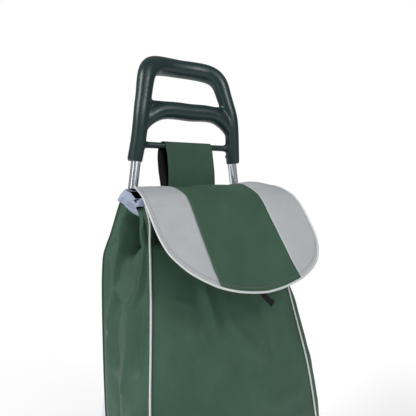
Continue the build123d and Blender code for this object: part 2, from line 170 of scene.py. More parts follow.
def woven(name, colour, pitch, depth, roughness, mottle=0.08, sheen=0.02):
    """Coated oxford cloth: two-over-two threads, a little sheen, and shade that drifts over a hand's width."""
    material, tree, shader = surface(name, Roughness=roughness, Sheen_Weight=sheen, Sheen_Roughness=0.5,
                                     Specular_IOR_Level=0.14)
    base = linear(colour)
    dark = tuple(c * 0.8 for c in base[:3]) + (1.0,)
    light = tuple(min(c * 1.12, 1.0) for c in base[:3]) + (1.0,)
    place = add(tree, "ShaderNodeUVMap", uv_map="cloth")
    bricks = add(tree, "ShaderNodeTexBrick", {
        "Vector": place.outputs["UV"], "Color1": base, "Color2": light, "Mortar": dark, "Scale": 1.0,
        "Mortar Size": pitch * 0.12, "Mortar Smooth": 0.6, "Bias": 0.0, "Brick Width": pitch * 1.6,
        "Row Height": pitch}, offset=0.5, squash=1.0)
    where = add(tree, "ShaderNodeTexCoord")
    drift = add(tree, "ShaderNodeTexNoise", {"Vector": where.outputs["Object"], "Scale": 14.0, "Detail": 4.0,
                                             "Roughness": 0.55})
    shade = add(tree, "ShaderNodeMapRange", {"Value": drift.outputs["Fac"], "From Min": 0.3, "From Max": 0.7,
                                             "To Min": 1 - mottle, "To Max": 1 + mottle})
    mixed = add(tree, "ShaderNodeVectorMath", {0: bricks.outputs["Color"], 1: shade.outputs["Result"]},
                operation="MULTIPLY")
    tree.links.new(mixed.outputs["Vector"], shader.inputs["Base Color"])
    slub = add(tree, "ShaderNodeTexNoise", {"Vector": where.outputs["Object"], "Scale": 260.0, "Detail": 2.0})
    threads = add(tree, "ShaderNodeMath", {0: bricks.outputs["Fac"], 1: -1.0}, operation="MULTIPLY")
    height = add(tree, "ShaderNodeMath", {0: threads.outputs["Value"], 1: slub.outputs["Fac"]}, operation="ADD")
    bump = add(tree, "ShaderNodeBump", {"Height": height.outputs["Value"], "Strength": 0.5, "Distance": depth})
    tree.links.new(bump.outputs["Normal"], shader.inputs["Normal"])
    return material


def moulded(name, colour, roughness, grain_mm, grain_depth, drift_amount=0.1, **sockets):
    """Moulded plastic or rubber: fine even grain, and a faint drift in gloss where hands and dust have been."""
    material, tree, shader = surface(name, **sockets)
    base = linear(colour)
    where = add(tree, "ShaderNodeTexCoord")
    fine = add(tree, "ShaderNodeTexNoise", {"Vector": where.outputs["Object"], "Scale": 1000.0 / grain_mm,
                                            "Detail": 3.0})
    broad = add(tree, "ShaderNodeTexNoise", {"Vector": where.outputs["Object"], "Scale": 22.0, "Detail": 5.0})
    gloss = add(tree, "ShaderNodeMapRange", {"Value": broad.outputs["Fac"], "From Min": 0.3, "From Max": 0.7,
                                             "To Min": roughness * 0.85, "To Max": roughness * 1.2})
    tree.links.new(gloss.outputs["Result"], shader.inputs["Roughness"])
    shade = add(tree, "ShaderNodeMapRange", {"Value": broad.outputs["Fac"], "From Min": 0.3, "From Max": 0.7,
                                             "To Min": 1 - drift_amount, "To Max": 1 + drift_amount})
    tint = add(tree, "ShaderNodeVectorMath", {0: base[:3], 1: shade.outputs["Result"]}, operation="MULTIPLY")
    tree.links.new(tint.outputs["Vector"], shader.inputs["Base Color"])
    bump = add(tree, "ShaderNodeBump", {"Height": fine.outputs["Fac"], "Strength": 0.4, "Distance": grain_depth})
    tree.links.new(bump.outputs["Normal"], shader.inputs["Normal"])
    return material


def plated(name, colour, roughness, spangle_mm, spangle):
    """Plated steel: bright metal whose gloss wanders with handling, or a soft crystal spangle on zinc."""
    material, tree, shader = surface(name, Metallic=1.0)
    base = linear(colour)
    where = add(tree, "ShaderNodeTexCoord")
    cells = add(tree, "ShaderNodeTexVoronoi", {"Vector": where.outputs["Object"], "Scale": 1000.0 / spangle_mm})
    smear = add(tree, "ShaderNodeTexNoise", {"Vector": where.outputs["Object"], "Scale": 40.0, "Detail": 6.0})
    both = add(tree, "ShaderNodeMix", {"Factor": 0.5, "A": cells.outputs["Distance"], "B": smear.outputs["Fac"]})
    gloss = add(tree, "ShaderNodeMapRange", {"Value": both.outputs["Result"], "To Min": roughness * 0.7,
                                             "To Max": roughness * 1.5})
    tree.links.new(gloss.outputs["Result"], shader.inputs["Roughness"])
    shade = add(tree, "ShaderNodeMapRange", {"Value": both.outputs["Result"], "To Min": 1 - spangle,
                                             "To Max": 1.0})
    tint = add(tree, "ShaderNodeVectorMath", {0: base[:3], 1: shade.outputs["Result"]}, operation="MULTIPLY")
    tree.links.new(tint.outputs["Vector"], shader.inputs["Base Color"])
    return material


# Glossy moulded polypropylene in bottle green: long soft highlights, faint flow marks.
HANDLE_PLASTIC = moulded("moulded_green_polypropylene", "#0d2726", 0.3, 0.5, 0.00003, 0.08,
                         IOR=1.49, Specular_IOR_Level=0.4)
# Chromed tube: near mirror, a cool cast.
CHROME = plated("chromed_steel_tube", "#d8dce4", 0.13, 6.0, 0.06)
# Zinc-plated steel: duller, faint crystals of a few millimetres.
ZINC = plated("zinc_plated_steel", "#b4b7ba", 0.38, 3.0, 0.22)
# Bright nickel push-on caps.
NICKEL = plated("bright_nickel", "#dcdad4", 0.16, 4.0, 0.05)
# Moulded black polypropylene with a fine spark-eroded grain.
BLACK_PLASTIC = moulded("moulded_black_polypropylene", "#191a1c", 0.45, 0.7, 0.00008, 0.15, IOR=1.49)
# Rubber: matt and dusty, slightly brown on the tyres.
TYRE_RUBBER = moulded("moulded_tyre_rubber", "#242323", 0.78, 0.9, 0.00015, 0.3, IOR=1.52)
FOOT_RUBBER = moulded("moulded_foot_rubber", "#1d1d1e", 0.7, 0.8, 0.0001, 0.2, IOR=1.52)
# Bottle-green oxford polyester; its 0.5 mm threads are made 1.1 mm so that they show.
GREEN_CLOTH = woven("green_oxford_polyester", "#365041", 0.0011, 0.00012, 0.46, 0.12)
# Silver-grey oxford polyester of the same weave.
GREY_CLOTH = woven("grey_oxford_polyester", "#a4a7aa", 0.0011, 0.0001, 0.5, 0.03)
# Coated taffeta hem: smoother and shinier than the bag, cool white.
HEM_CLOTH = woven("pale_coated_taffeta", "#949db0", 0.0008, 0.00005, 0.42, 0.05)
# Black backing on the cloth's inner side; its near-black is partly painted shade, standing in for the dark inside
# of the bag.
LINING = moulded("black_backing_with_painted_shade", "#060506", 0.65, 1.2, 0.0001, 0.2, Specular_IOR_Level=0.15)
# Vinyl corded piping, off-white with a slight gloss.
PIPING_VINYL = moulded("pale_vinyl_piping", "#b6b8b8", 0.4, 0.8, 0.00005, 0.04, IOR=1.5)
# Black polypropylene webbing.
WEBBING = woven("black_webbing", "#080709", 0.0016, 0.0003, 0.55, 0.15)
# Spun polyester thread: dull.
THREAD_GREY = moulded("grey_sewing_thread", "#66696c", 0.6, 0.3, 0.00003, 0.05)
THREAD_GREEN = moulded("green_sewing_thread", "#2f4a3d", 0.55, 0.3, 0.00003, 0.05)
# Grey hardboard.
BOARD = moulded("grey_hardboard", "#8a8a86", 0.85, 1.5, 0.0001, 0.12)


# ---------------------------------------------------------------- making pieces
def finished(name, bm, materials, body, replaced=()):
    """Turns a bmesh into a piece that rides on a body."""
    mesh = bpy.data.meshes.new(name)
    bm.to_mesh(mesh)
    bm.free()
    piece = bpy.data.objects.new(name, mesh)
    bpy.context.collection.objects.link(piece)
    for material in materials:
        mesh.materials.append(material)
    mesh.shade_smooth()
    if body:
        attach(piece, body)
    if replaced:
        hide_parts(*replaced)
    return piece


def bake(piece):
    """Applies a piece's modifiers."""
    graph = bpy.context.evaluated_depsgraph_get()
    mesh = bpy.data.meshes.new_from_object(piece.evaluated_get(graph))
    old = piece.data
    piece.modifiers.clear()
    piece.data = mesh
    bpy.data.meshes.remove(old)
    mesh.name = piece.name
    return piece


def soft_noise(point, wave, seed):
    """Smooth noise from -1 to 1 at a point, with a wave length in mm."""
    return noise.noise(point / (wave * MM) + Vector((seed, seed * 1.7, seed * 0.3)))


def crease_lift(point, creases, across):
    """Height in mm that fold lines add at a point; each is (points, height, half width) in the across view."""
    here = Vector(across(point))
    up = down = 0.0
    for line, height, width in creases:
        nearest = width
        for a, b in zip(line, line[1:]):
            start, run = Vector(a), Vector(b) - Vector(a)
            t = min(max((here - start).dot(run) / run.length_squared, 0.0), 1.0)
            nearest = min(nearest, (here - start - run * t).length)
        lift = height * (1 - nearest / width) ** 1.4
        up, down = max(up, lift), min(down, lift)
    return up + down


def side_view(point):
    """Reach and height of a point, in mm."""
    return (UPRIGHTS_Y - point.y) / MM, point.z / MM


def front_view(point):
    """Distance from the middle and height of a point, in mm."""
    return point.x / MM, point.z / MM


ALL_EDGES, NO_EDGES = (True,) * 4, (False,) * 4
FADE = 0.12


def cloth(name, place, segments, flat, thickness, inside, materials, body, replaced=(), ripples=(),
          held_edges=ALL_EDGES, creases=(), across=side_view):
    """Sheet of cloth on a grid, its right side facing away from the point inside.

    place(u, v) gives a point, flat is the cut size in metres, and each ripple is (mm, wave, seed).
    Ripples and creases fade out over FADE of the way in from each held edge, in the order left, right, start, end.
    """
    bm = bmesh.new()
    bm.loops.layers.uv.new("cloth")
    bmesh.ops.create_grid(bm, x_segments=segments[0], y_segments=segments[1], size=0.5, calc_uvs=True)
    uv = bm.loops.layers.uv["cloth"]
    for face in bm.faces:
        for loop in face.loops:
            loop[uv].uv = ((loop.vert.co.x + 0.5) * flat[0], (loop.vert.co.y + 0.5) * flat[1])
    share = {}
    for vert in bm.verts:
        u, v = vert.co.x + 0.5, vert.co.y + 0.5
        held = 1.0
        for distance, on in zip((u, 1 - u, v, 1 - v), held_edges):
            if on:
                held *= min(distance / FADE, 1.0)
        share[vert] = held
        vert.co = place(u, v)
    bmesh.ops.remove_doubles(bm, verts=bm.verts, dist=0.00001)
    bm.normal_update()
    facing = sum(f.normal.dot(f.calc_center_median() - inside) * f.calc_area() for f in bm.faces)
    if facing < 0:
        bmesh.ops.reverse_faces(bm, faces=bm.faces)
        bm.normal_update()
    moves = []
    for vert in bm.verts:
        lift = sum(size * soft_noise(vert.co, wave, seed) for size, wave, seed in ripples)
        lift += crease_lift(vert.co, creases, across)
        moves.append(vert.normal * (lift * MM * share.get(vert, 0.0)))
    for vert, move in zip(bm.verts, moves):
        vert.co += move
    piece = finished(name, bm, materials, body, replaced)
    wall = piece.modifiers.new("thickness", "SOLIDIFY")
    wall.thickness = thickness * MM
    wall.offset = -1
    if len(materials) > 1:
        wall.material_offset = 1
    return bake(piece)


def tube(points, radii, resolution, closed=False):
    """Round bar along points in metres, with a radius in mm at each, as a bmesh."""
    curve = bpy.data.curves.new("sweep", "CURVE")
    curve.dimensions = "3D"
    curve.bevel_depth = 1.0
    curve.bevel_resolution = resolution
    curve.use_fill_caps = not closed
    spline = curve.splines.new("NURBS")
    spline.points.add(len(points) - 1)
    for i, point in enumerate(points):
        spline.points[i].co = (*point, 1.0)
        spline.points[i].radius = radii[i] * MM
    spline.use_cyclic_u = closed
    spline.order_u = 3
    spline.use_endpoint_u = not closed
    spline.resolution_u = 6
    holder = bpy.data.objects.new("sweep", curve)
    bpy.context.collection.objects.link(holder)
    bpy.context.view_layer.update()
    graph = bpy.context.evaluated_depsgraph_get()
    mesh = bpy.data.meshes.new_from_object(holder.evaluated_get(graph))
    bpy.data.objects.remove(holder)
    bpy.data.curves.remove(curve)
    bm = bmesh.new()
    bm.from_mesh(mesh)
    bpy.data.meshes.remove(mesh)
    bmesh.ops.remove_doubles(bm, verts=bm.verts, dist=0.00001)
    bmesh.ops.recalc_face_normals(bm, faces=bm.faces)
    return bm


def cord(name, points, radius, material, body, replaced=(), closed=False):
    """Even round cord or bead along points."""
    bm = tube(points, [radius] * len(points), 6, closed)
    return finished(name, bm, [material], body, replaced)


def stitches(name, points, normal_at, pitch, material):
    """Row of thread stitches lying on a seam line; each is a short bent thread."""
    bm = bmesh.new()
    lengths = [0.0]
    for a, b in zip(points, points[1:]):
        lengths.append(lengths[-1] + (b - a).length)
    count = int(lengths[-1] / (pitch * MM))
    for i in range(count):
        want = (i + 0.5) * pitch * MM
        k = min(max(bisect_right(lengths, want) - 1, 0), len(points) - 2)
        t = (want - lengths[k]) / max(lengths[k + 1] - lengths[k], 1e-9)
        centre = points[k].lerp(points[k + 1], t)
        along = (points[k + 1] - points[k]).normalized()
        up = normal_at(centre).normalized()
        side = along.cross(up).normalized()
        ring = bmesh.ops.create_cone(bm, segments=6, radius1=1.0, radius2=1.0, depth=1.0, cap_ends=True)["verts"]
        for vert in ring:
            x, y, z = vert.co
            end = abs(z) * 2
            rise = 0.28 - 0.3 * end
            radius = 0.42 - 0.16 * end
            vert.co = centre + along * (z * pitch * 0.72 * MM) + side * (x * radius * MM) \
                + up * ((y * radius + rise) * MM)
    bmesh.ops.recalc_face_normals(bm, faces=bm.faces)
    return finished(name, bm, [material], None)


# ---------------------------------------------------------------- handle
HANDLE_VOXEL = 1.9
HANDLE_SMOOTHING = 13
SHARP_MOUTH = 1.2


def handle_tube(points, radii):
    return tube([at(*point) for point in points], radii, 10)


def moulded_handle():
    """Upper loop, arched grip and thin bar, grown together with soft fillets."""
    side = [(110.8, 0, SOCKET_Z), (110.4, 0, SOCKET_Z + 4), (107.6, 2.5, 745), (104.2, 6, 771), (101.6, 8, 800),
            (98.8, 7, 822), (92.5, 2, 845), (87.5, -3.5, 868), (82.5, -7, 888), (72.5, -15, 903),
            (57, -25, 910.5), (29, -31, 913)]
    outline = [(-x, reach, z) for x, reach, z in side] + [(0, -32, 912.5)] + list(reversed(side))
    leg = [14.2, 14.2, 14.3, 14.4, 14.3, 14.6, 15.4, 16.2, 17.2, 18.4, 18.8, 18.2]
    parts = [handle_tube(outline, leg + [17.8] + leg[::-1])]
    arch = [(-106, 3, 757), (-102, 6, 775), (-93, 7, 796), (-77, 6, 812), (-55, 4, 822), (-25, 3, 823.5),
            (5, 2, 822), (35, 3, 823.5), (58, 4, 822.5), (78, 6, 812), (93, 7, 795), (102, 6, 775), (106, 3, 757)]
    arch_r = [4, 7.5, 12, 15.2, 16.5, 17, 17.3, 17, 16.5, 15.2, 12, 7.5, 4]
    parts.append(handle_tube(arch, arch_r))
    upper = [(-99, -1, 824), (-60, -3, 826.5), (0, -3, 826.5), (60, -3, 826.5), (99, -1, 824)]
    parts.append(handle_tube(upper, [15, 14.2, 14, 14.2, 15]))
    bar = [(-108, 0, THIN_BAR_Z), (-96, 0, THIN_BAR_Z), (-88, 0, THIN_BAR_Z), (-70, 0, THIN_BAR_Z),
           (70, 0, THIN_BAR_Z), (88, 0, THIN_BAR_Z), (96, 0, THIN_BAR_Z), (108, 0, THIN_BAR_Z)]
    parts.append(handle_tube(bar, [11, 8, 6.8, 6.5, 6.5, 6.8, 8, 11]))
    whole = bmesh.new()
    for part in parts:
        mesh = bpy.data.meshes.new("part")
        part.to_mesh(mesh)
        part.free()
        whole.from_mesh(mesh)
        bpy.data.meshes.remove(mesh)
    piece = finished("handle_moulding", whole, [HANDLE_PLASTIC], None)
    remesh = piece.modifiers.new("grow_together", "REMESH")
    remesh.mode = "VOXEL"
    remesh.voxel_size = HANDLE_VOXEL * MM
    bake(piece)
    bm = bmesh.new()
    bm.from_mesh(piece.data)
    foot = (SOCKET_Z + SHARP_MOUTH) * MM
    for _ in range(HANDLE_SMOOTHING):
        bmesh.ops.smooth_vert(bm, verts=[v for v in bm.verts if v.co.z > foot], factor=0.5,
                              use_axis_x=True, use_axis_y=True, use_axis_z=True)
    bmesh.ops.recalc_face_normals(bm, faces=bm.faces)
    bm.to_mesh(piece.data)
    bm.free()
    piece.data.shade_smooth()
    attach(piece, "frame")
    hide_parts("handle")


moulded_handle()

# ---------------------------------------------------------------- bag walls
# Lines down one side of the bag, from the collar seam to the floor, as (outward x, reach, z).
REAR_CORNER = [(142, 14, 657), (150, 14, 634), (157, 14, 612), (163, 14, 594), (168, 14, 582), (175.5, 14, 560),
               (178, 14, 530), (179, 14, 498), (179, 14, 430), (178, 14, 340), (175, 14, 235),
               (172, 14, BAG_FLOOR + 1)]
REAR_RIDGE = [(142, 34, 650), (147, 44, 628), (151, 52, 608), (153, 54, 590), (156, 54, 578), (162, 54, 558),
              (167, 55, 530), (170, 56, 500), (178, 57, 430), (184, 61, 340), (180, 66, 235),
              (172, 62, BAG_FLOOR + 1)]
TUCK_REAR = [(130, 52, 636), (112, 57, 617), (96, 61, 600), (90, 62, 586), (94, 64, 573), (146, 65, 561),
             (159, 70, 528), (165, 76, 498), (176, 84, 430), (186, 90, 340), (182, 98, 235),
             (172, 96, BAG_FLOOR + 1)]
TUCK = [(120, 62, 630), (96, 66, 615), (80, 70, 604), (80, 73, 593), (126, 75, 582), (144, 79, 564),
        (150, 86, 532), (157, 90, 498), (172, 100, 430), (185, 110, 340), (182, 120, 235),
        (172, 120, BAG_FLOOR + 1)]
FRONT_RIDGE = [(139, 78, 642), (134, 82, 622), (131, 84, 604), (130, 86, 590), (131, 88, 578), (136, 92, 558),
               (143, 97, 530), (149, 103, 498), (161, 122, 430), (175, 138, 340), (178, 150, 235),
               (172, 150, BAG_FLOOR + 1)]
RIDGE_FRONT = [(136, 88, 646), (130, 91, 623), (128, 94, 604), (127, 96, 590), (128, 99, 578), (131, 104, 558),
               (135, 111, 530), (140, 119, 498), (153, 140, 430), (166, 156, 340), (173, 176, 235),
               (172, 180, BAG_FLOOR + 1)]
RIDGE_FRONT_PROUD = [(138, 88, 646), (137, 93, 623), (139, 98, 604), (141, 102, 590), (142, 105, 578),
                     (145, 111, 558), (148, 118, 530), (153, 126, 498), (167, 144, 430), (182, 163, 340),
                     (185, 182, 235), (173, 192, BAG_FLOOR + 1)]
FRONT_CORNER = [(133, 97, 648), (129, 103, 625), (130, 107, 607), (132, 110, 592), (133, 113, 579),
                (135, 118, 560), (138, 125, 530), (141, 132, 498), (150, 149, 430), (162, 171, 340),
                (168, 190, 235), (172, 205, BAG_FLOOR + 1)]
# Fold lines of a side, as (reach, height) points, how far they stand out, and their half width.
SIDE_FOLDS = [
    ([(37, 655), (42, 632), (48, 600), (51, 560), (54, 513)], 9.5, 9),
    ([(54, 513), (49, 494), (42, 466), (38, 440)], 7.5, 14),
    ([(54, 513), (66, 500), (80, 485), (90, 478)], 6.5, 12),
    ([(88, 642), (88, 592), (92, 565), (97, 540), (100, 515), (98, 497), (90, 482)], 7.5, 10),
    ([(28, 645), (32, 618), (28, 590)], -9.0, 15),
    ([(64, 488), (60, 460), (66, 425), (80, 395)], -8.0, 22),
    ([(92, 470), (104, 440), (110, 400), (112, 360)], 6.5, 16),
    ([(112, 480), (124, 440), (134, 395)], -6.0, 15),
    ([(40, 420), (52, 380), (50, 330), (60, 280)], 6.0, 20),
    ([(24, 560), (30, 530), (28, 500)], -6.0, 14),
    ([(84, 360), (92, 320), (120, 280), (130, 230)], -7.0, 24),
    ([(140, 340), (130, 290), (140, 240)], 5.5, 18),
    ([(30, 250), (60, 225), (100, 215), (150, 225)], 5.0, 20),
    ([(40, 190), (90, 180), (150, 185)], -5.0, 18),
]
BAG_INSIDE = at(0, 100, 400)
CLOTH_PAIR = [GREEN_CLOTH, LINING]
CLOTH_T = 1.2
HEM_T = 0.8
BOTTOM_HALF_WIDTH, BOTTOM_REAR, BOTTOM_DEPTH = 172, 14, 191


def side_line(line, side):
    return [at(side * x, reach, z) for x, reach, z in line]


def gusset(side, word, near_front, seed):
    lines = [REAR_CORNER, REAR_RIDGE, TUCK_REAR, TUCK, FRONT_RIDGE, near_front, FRONT_CORNER]
    columns = [side_line(line, side) for line in lines]

    def place(u, v):
        return through([through(column, v) for column in columns], u)

    piece = cloth("gusset_" + word, place, (96, 150), (0.245, 0.54), CLOTH_T, BAG_INSIDE, CLOTH_PAIR, "frame",
                  ["bag_gusset_" + word], [(2.2, 70, seed), (1.2, 30, seed + 3)],
                  creases=SIDE_FOLDS)


gusset(-1, "left", RIDGE_FRONT, 1.3)
gusset(1, "right", RIDGE_FRONT_PROUD, 5.1)

FRONT_FOLDS = [
    ([(-130, 499), (-103, 497), (-79, 488)], 3.4, 12),
    ([(-134, 456), (-94, 450), (-56, 435)], 3.7, 14),
    ([(-47, 505), (-42, 480), (-36, 450)], 5.1, 19),
    ([(-6, 450), (20, 415), (49, 381)], 4.2, 19),
    ([(60, 470), (66, 430), (77, 388)], -4.2, 21),
    ([(112, 470), (124, 430), (139, 375)], 4.4, 17),
    ([(-110, 400), (-60, 380), (-10, 385), (40, 370)], -4.2, 21),
    ([(-140, 330), (-90, 322), (-40, 300)], 4.4, 19),
    ([(30, 320), (80, 300), (130, 305)], 4.4, 19),
    ([(-130, 230), (-60, 215), (20, 222), (100, 210)], -5.1, 23),
    ([(-150, 170), (-80, 160), (10, 166), (120, 158)], 4.4, 19),
]


def front_panel():
    left, right = side_line(FRONT_CORNER, -1), side_line(FRONT_CORNER, 1)

    def place(u, v):
        point = through(left, v).lerp(through(right, v), u)
        belly = 13 * (4 * u * (1 - u)) ** 0.8 * (0.25 + 0.75 * hill(v, 0.6, 0.75))
        valley = 20 * hill(u, 0.1, 0.11) * hill(v, 0.16, 0.22) + 9 * hill(u, 0.92, 0.09) * hill(v, 0.14, 0.28)
        return point + Vector((0, -(belly - valley) * MM, 0))

    piece = cloth("front_panel", place, (80, 100), (0.344, 0.527), CLOTH_T, BAG_INSIDE, CLOTH_PAIR, "frame",
                  ["bag_front_panel"], [(2.6, 95, 2.2), (1.2, 36, 8.4)],
                  creases=FRONT_FOLDS, across=front_view)


def rear_panel():
    left, right = side_line(REAR_CORNER, -1), side_line(REAR_CORNER, 1)

    def place(u, v):
        point = through(left, v).lerp(through(right, v), u)
        slack = 8.4 * u * (1 - u) * hill(v, 0.6, 0.6)
        return point + Vector((0, slack * MM, 0))

    piece = cloth("rear_panel", place, (60, 80), (0.355, 0.527), CLOTH_T, BAG_INSIDE, CLOTH_PAIR, "frame",
                  ["bag_rear_panel"], [(1.6, 80, 4.2), (0.8, 35, 6.4)])


def bottom_panel():
    def place(u, v):
        sag = 1.6 * abs(sin(v * 6 * pi)) * u * (1 - u)
        return at(BOTTOM_HALF_WIDTH * (2 * u - 1), BOTTOM_REAR + BOTTOM_DEPTH * v, BAG_FLOOR + CLOTH_T - sag)

    piece = cloth("bottom_panel", place, (40, 36), (0.344, 0.191), CLOTH_T, BAG_INSIDE, CLOTH_PAIR, "frame",
                  ["bag_bottom_panel"])


front_panel()
rear_panel()
bottom_panel()

# ---------------------------------------------------------------- pipings and bound seams
PIPING_R, BINDING_R = 1.75, 1.7
for side, word in ((-1, "left"), (1, "right")):
    line = [p + Vector((side * 1.2, -1.4, 0)) * MM for p in side_line(FRONT_CORNER, side)]
    points = [through(line, i / 40) for i in range(41)]
    cord("piping_cord_" + word, points, PIPING_R, PIPING_VINYL, "frame", ["piping_" + word])
    line = [p + Vector((side * 0.2, 0.6, 0)) * MM for p in side_line(REAR_CORNER, side)]
    points = [through(line, i / 40) for i in range(41)]
    cord("rear_binding_" + word, points, BINDING_R, GREEN_CLOTH, "frame")

corners = [at(x, reach, BAG_FLOOR + 1.4) for x, reach in (
    (-BOTTOM_HALF_WIDTH, BOTTOM_REAR), (-BOTTOM_HALF_WIDTH, BOTTOM_REAR + BOTTOM_DEPTH),
    (BOTTOM_HALF_WIDTH, BOTTOM_REAR + BOTTOM_DEPTH), (BOTTOM_HALF_WIDTH, BOTTOM_REAR))]
ring = []
for a, b in zip(corners, corners[1:] + corners[:1]):
    ring += [a.lerp(b, t) for t in (0.01, 0.25, 0.5, 0.75, 0.99)]
cord("bottom_binding", ring, BINDING_R, GREEN_CLOTH, "frame", closed=True)

# ---------------------------------------------------------------- collar
# Round the mouth from the rear left corner, by the left side: (seam point, rim point).
SIDE_HEM = [((143, 14, 657), (132, 15, 675)), ((144, 32, 649), (133, 34, 667)), ((137, 48, 636), (131, 50, 658)),
            ((127, 61, 629), (131, 62, 653)), ((139, 78, 641), (136, 80, 656)), ((143, 95, 648), (138, 96, 662))]
FRONT_HEM = [((95, 106, 646), (90, 102, 666)), ((45, 110, 645), (45, 106, 668))]
REAR_HEM = [((60, 13, 656), (55, 14, 673))]

# Share of the hem's width that stands outside; the rest folds over the rim.
RIM_AT = 0.72
HEM_FOLDS = [
    ([(24, 656), (33, 658), (47, 652), (60, 645), (66, 641)], -4.5, 8),
    ([(20, 647), (36, 646), (52, 640), (66, 634)], 4.0, 6),
]


def collar():
    left = SIDE_HEM + FRONT_HEM
    loop = [(-1, pair) for pair in left] + [(1, pair) for pair in reversed(left)]
    loop += [(1, REAR_HEM[0]), (-1, REAR_HEM[0])]
    pairs = [(at(s * a[0], a[1], a[2]), at(s * b[0], b[1], b[2])) for s, (a, b) in loop]
    centre = at(0, 55, 660)
    count = len(pairs)

    def ring_point(column, t):
        span = (t % 1.0) * count
        i = int(span)
        return between(*[pairs[(i + k) % count][column] for k in (-1, 0, 1, 2)], span - i)

    def place(u, v):
        seam, rim = ring_point(0, u), ring_point(1, u)
        out = (seam + rim) / 2 - centre
        out.z = 0
        out.normalize()
        if v > RIM_AT:
            fold = (v - RIM_AT) / (1 - RIM_AT)
            drop = Vector((0, 0, sin(fold * pi) - 5 * fold ** 2))
            return rim - out * (2.6 * sin(fold * pi / 2) * MM) + drop * MM
        climb = v / RIM_AT
        puff = 3.2 * sin(pi * climb) + 1.6 * hill(v, 0.0, 0.2)
        return seam.lerp(rim, climb) + out * (puff * MM)

    # The hem's inner side takes the black backing, whose near-black is painted shade for the bag's dark inside.
    piece = cloth("collar_hem", place, (300, 22), (0.74, 0.035), HEM_T, at(0, 55, 600), [HEM_CLOTH, LINING],
                  "frame", ["collar"], [(1.6, 26, 3.3), (0.8, 11, 9.1)],
                  held_edges=(False, False, True, False), creases=HEM_FOLDS)


collar()

# ---------------------------------------------------------------- flap
# Middle line of the flap: (reach, z); outline on each side: (reach, distance from the middle).
FLAP_LINE = [(15, 671), (40, 680), (69, 682), (88, 680), (106, 675), (125, 667.5), (133, 662), (139, 656),
             (145, 650), (150, 643.5), (155, 637), (164, 625.5), (177, 608), (190, 591), (203, 575), (215, 559.5),
             (230, 543), (249, 523)]
FLAP_LEFT = [(15, 105), (39, 126), (60, 137), (83, 144), (112, 148.5), (134, 151.5), (153, 151), (168, 149),
             (185, 144), (196, 138), (205, 130), (214, 119), (222, 107), (230, 93), (236, 79), (243, 56), (247, 32),
             (248.6, 12), (249, 0)]
FLAP_RIGHT = [(15, 105), (39, 128), (60, 147), (83, 158), (106, 160), (127, 161), (148, 164.5), (172, 165.5),
              (192, 161), (207, 150), (221, 131), (232, 105), (240, 77), (245, 48), (248, 22), (249, 0)]
STRIPE = [(15, 74), (120, 75), (249, 78)]
FLAP_REAR, FLAP_TIP = 15.0, 249.0
FLAP_T = 1.6


def flap_slope(reach):
    """Rise of the flap's middle line per mm of reach."""
    return (read(FLAP_LINE, reach + 1.5) - read(FLAP_LINE, reach - 1.5)) / 3


def flap_point(x, reach, lift=0.0):
    """Point on the flap, a lift in mm above its cloth."""
    z = read(FLAP_LINE, reach)
    slope = flap_slope(reach)
    length = (1 + slope * slope) ** 0.5
    crown = 2.5 * (x / 150) ** 2
    wave = 1.6 * soft_noise(at(x, reach, z), 70, 6.6) + 0.6 * soft_noise(at(x, reach, z), 28, 2.9)
    hump = 7 * hill(x, 108, 62) * hill(reach, 72, 62)
    hollow = 4 * hill(x, -42, 45) * hill(reach, 60, 50)
    raised = lift - crown + wave + hump - hollow
    return at(x, reach, z) + Vector((0, slope, 1)) / length * (raised * MM)


def flap_normal(point):
    return Vector((0, flap_slope((UPRIGHTS_Y - point.y) / MM), 1))


def flap_edges(reach, part):
    """Left and right x of one part of the flap."""
    left, right = -read(FLAP_LEFT, reach), read(FLAP_RIGHT, reach)
    seam = read(STRIPE, reach)
    if part == "left":
        return left, max(-seam, left)
    if part == "right":
        return min(seam, right), right
    return max(-seam, left), min(seam, right)


def flap_part(part, last_reach, material, nodes):
    """One panel of the flap, from its rear edge to the reach where it ends."""
    def place(u, v):
        reach = FLAP_REAR + (last_reach - FLAP_REAR) * sin(v * pi / 2)
        start, end = flap_edges(reach, part)
        x = start + (end - start) * u
        seam = read(STRIPE, reach)
        dip = 0.9 * (hill(x, -seam, 3.0) + hill(x, seam, 3.0))
        return flap_point(x, reach, -dip)

    width = 0.152 if part == "centre" else 0.09
    piece = cloth("flap_" + part + "_cloth", place, (44 if part == "centre" else 34, 110), (width, 0.31), FLAP_T,
                  at(0, 60, 560), [material, LINING], None, nodes, held_edges=NO_EDGES)
    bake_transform(piece)


flap_part("left", 236.6, GREY_CLOTH, ["flap_left"])
flap_part("centre", FLAP_TIP, GREEN_CLOTH, ["flap_centre", "flap_rear_strip"])
flap_part("right", 240.0, GREY_CLOTH, ["flap_right"])


def flap_rim(inset, lift):
    """Points round the flap's free edge, from the rear left to the rear right, inset and lifted in mm."""
    steps = [FLAP_REAR + (FLAP_TIP - FLAP_REAR) * sin(i / 48 * pi / 2) for i in range(48)]

    def inside(table, reach, sign):
        x = read(table, reach)
        ahead = read(table, min(reach + 1, FLAP_TIP)) - read(table, reach - 1)
        across = Vector((2.0, ahead))
        across.normalize()
        return flap_point(sign * (x - inset * across.x), reach + inset * across.y, lift)

    left = [inside(FLAP_LEFT, r, -1) for r in steps]
    right = [inside(FLAP_RIGHT, r, 1) for r in steps]
    return left + [flap_point(3, FLAP_TIP - inset, lift)] + right[::-1]


STITCH = 4.0
FLAP_PIPING_R = 1.8
rim = cord("flap_piping_cord", flap_rim(0.3, -0.7), FLAP_PIPING_R, PIPING_VINYL, None,
           ["flap_piping"])
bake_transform(rim)
thread = stitches("flap_edge_stitches", flap_rim(6.0, 0.15), flap_normal, STITCH, THREAD_GREY)
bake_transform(thread)
for sign, word in ((-1, "left"), (1, "right")):
    reaches = [16 + 218 * i / 60 for i in range(61)]
    row = [flap_point(sign * (read(STRIPE, reach) - 4.5), reach, 0.1) for reach in reaches]
    thread = stitches("stripe_stitches_" + word, row, flap_normal, STITCH, THREAD_GREEN)
    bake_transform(thread)


